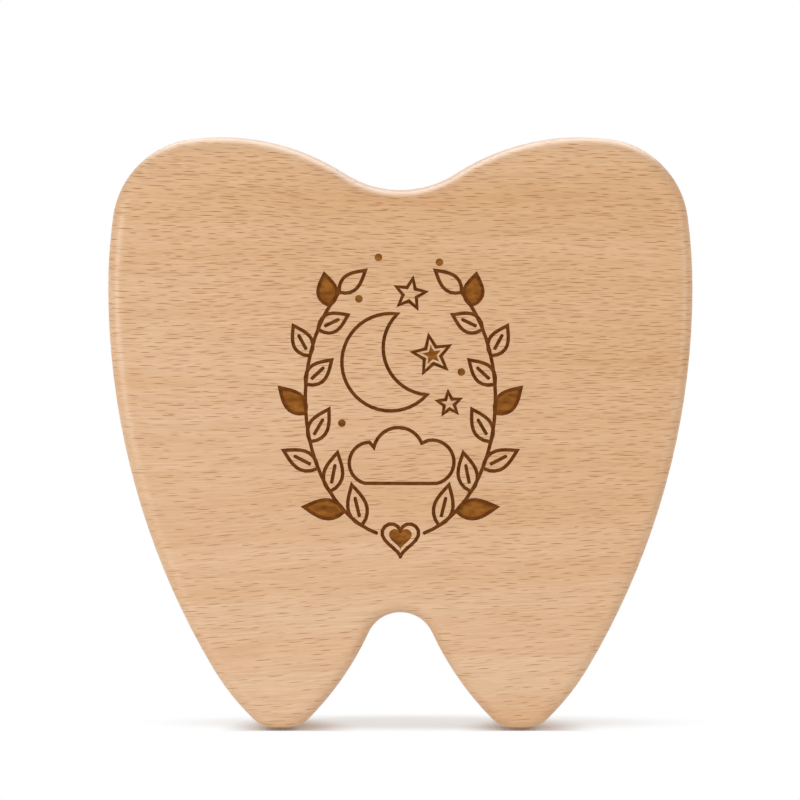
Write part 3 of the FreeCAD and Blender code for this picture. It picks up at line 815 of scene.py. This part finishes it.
def table_fade(tree, place):
    """How far the table fades into the white surround: not close to the box, and fully beyond its shadow."""
    shadow = {"Vector": place, "Location": SHADOW_CENTRE, "Scale": SHADOW_REACH}
    inside = add(tree, "ShaderNodeMapping", shadow, vector_type="TEXTURE").outputs[0]
    distance = add(tree, "ShaderNodeVectorMath", {0: inside}, operation="LENGTH").outputs["Value"]
    fade = remap(tree, distance, (SHADOW_CORE, 1), (SHADOW_FADE, 1), "SMOOTHSTEP")
    # Round each root tip it keeps more of its shading, further forwards than sideways.
    at = split(tree, place)
    sideways = number(tree, "ABSOLUTE", number(tree, "SUBTRACT", at["X"], TIP_SHIFT))
    depth = number(tree, "MULTIPLY", at["Y"], TIP_DEPTH_SHARE)
    folded = add(tree, "ShaderNodeCombineXYZ", {"X": sideways, "Y": depth}).outputs[0]
    ends = {0: folded, 1: TIP_CONTACT}
    apart = add(tree, "ShaderNodeVectorMath", ends, operation="DISTANCE").outputs["Value"]
    shaded = remap(tree, apart, TIP_SHADE, (TIP_FADE, 1), "SMOOTHSTEP")
    bright = remap(tree, at["Y"], BRIGHT_FRONT, (1, 0), "SMOOTHSTEP")
    return number(tree, "MAXIMUM", number(tree, "MULTIPLY", fade, shaded), bright)


def make_floor():
    mesh = bpy.data.meshes.new("floor")
    corners = [(x * TABLE_HALF, y * TABLE_HALF, 0) for x, y in ((-1, -1), (1, -1), (1, 1), (-1, 1))]
    mesh.from_pydata(corners, [], [(0, 1, 2, 3)])
    material, tree, surface = new_shader("white_table")
    place = object_place(tree)
    tone = noise(tree, place, TABLE_TONE_SIZE)
    feed(tree, surface, {
        "Base Color": mixed(tree, tone, TABLE_COOL, TABLE_PALE),
        "Roughness": TABLE_ROUGHNESS,
        "Specular IOR Level": TABLE_SHEEN,
    })
    seen = seen_share(tree, table_fade(tree, place))
    white = add(tree, "ShaderNodeEmission", {"Color": WHITE, "Strength": 1.0}).outputs[0]
    both = add(tree, "ShaderNodeMixShader", {0: seen, 1: surface.outputs[0], 2: white}).outputs[0]
    feed(tree, tree.nodes["Material Output"], {"Surface": both})
    mesh.materials.append(material)
    new_object("floor", mesh)


def make_surround():
    """A white surround that lights the box gently and looks white to the camera and in reflections."""
    world = bpy.data.worlds.new("surround")
    bpy.context.scene.world = world
    world.use_nodes = True
    tree = world.node_tree
    strength = remap(tree, seen_share(tree, 1.0), (0, 1), (SURROUND_LIGHT, 1))
    feed(tree, tree.nodes["Background"], {"Color": WHITE, "Strength": strength})


def point_at(piece, place, aim):
    """Puts a lamp or camera in its place and turns it to look at the aim."""
    piece.location = place
    piece.rotation_mode = "QUATERNION"
    piece.rotation_quaternion = (Vector(aim) - Vector(place)).to_track_quat("-Z", "Y")


def add_light(name, place, aim, size, power, lights=True, shines=True):
    """An area lamp that may be left out of the diffuse light or out of reflections."""
    lamp = bpy.data.lights.new(name, "AREA")
    lamp.shape = "RECTANGLE"
    lamp.size, lamp.size_y = size
    lamp.energy = power
    light = new_object(name, lamp)
    light.visible_diffuse = lights
    light.visible_glossy = shines
    point_at(light, place, aim)


def add_camera():
    photo_width = box_width * PHOTO_PIXELS / BOX_PIXELS
    lens = bpy.data.cameras.new("camera")
    lens.sensor_width = SENSOR_WIDTH
    lens.lens = SENSOR_WIDTH * DISTANCE / photo_width
    camera = new_object("camera", lens)
    back = Vector((0, -math.cos(ELEVATION), math.sin(ELEVATION)))
    point_at(camera, lens_aim + back * DISTANCE, lens_aim)
    bpy.context.scene.camera = camera


make_floor()
make_surround()
add_light("front_left", place=(-0.85, -0.8, 0.09), aim=LAMP_AIM, size=(0.6, 0.17), power=5.8)
add_light("front_right", place=(0.9, -0.65, 0.09), aim=LAMP_AIM, size=(0.6, 0.17), power=3.0)
add_light("back", place=(0.2, 1.0, 0.15), aim=LAMP_AIM, size=(0.8, 0.25), power=4, shines=False)
add_light("top_strip", place=(0, 0.25, 0.68), aim=TOP_EDGE_AIM, size=(0.9, 0.7), power=11, lights=False)
add_camera()
bpy.context.scene.view_settings.view_transform = "Standard"
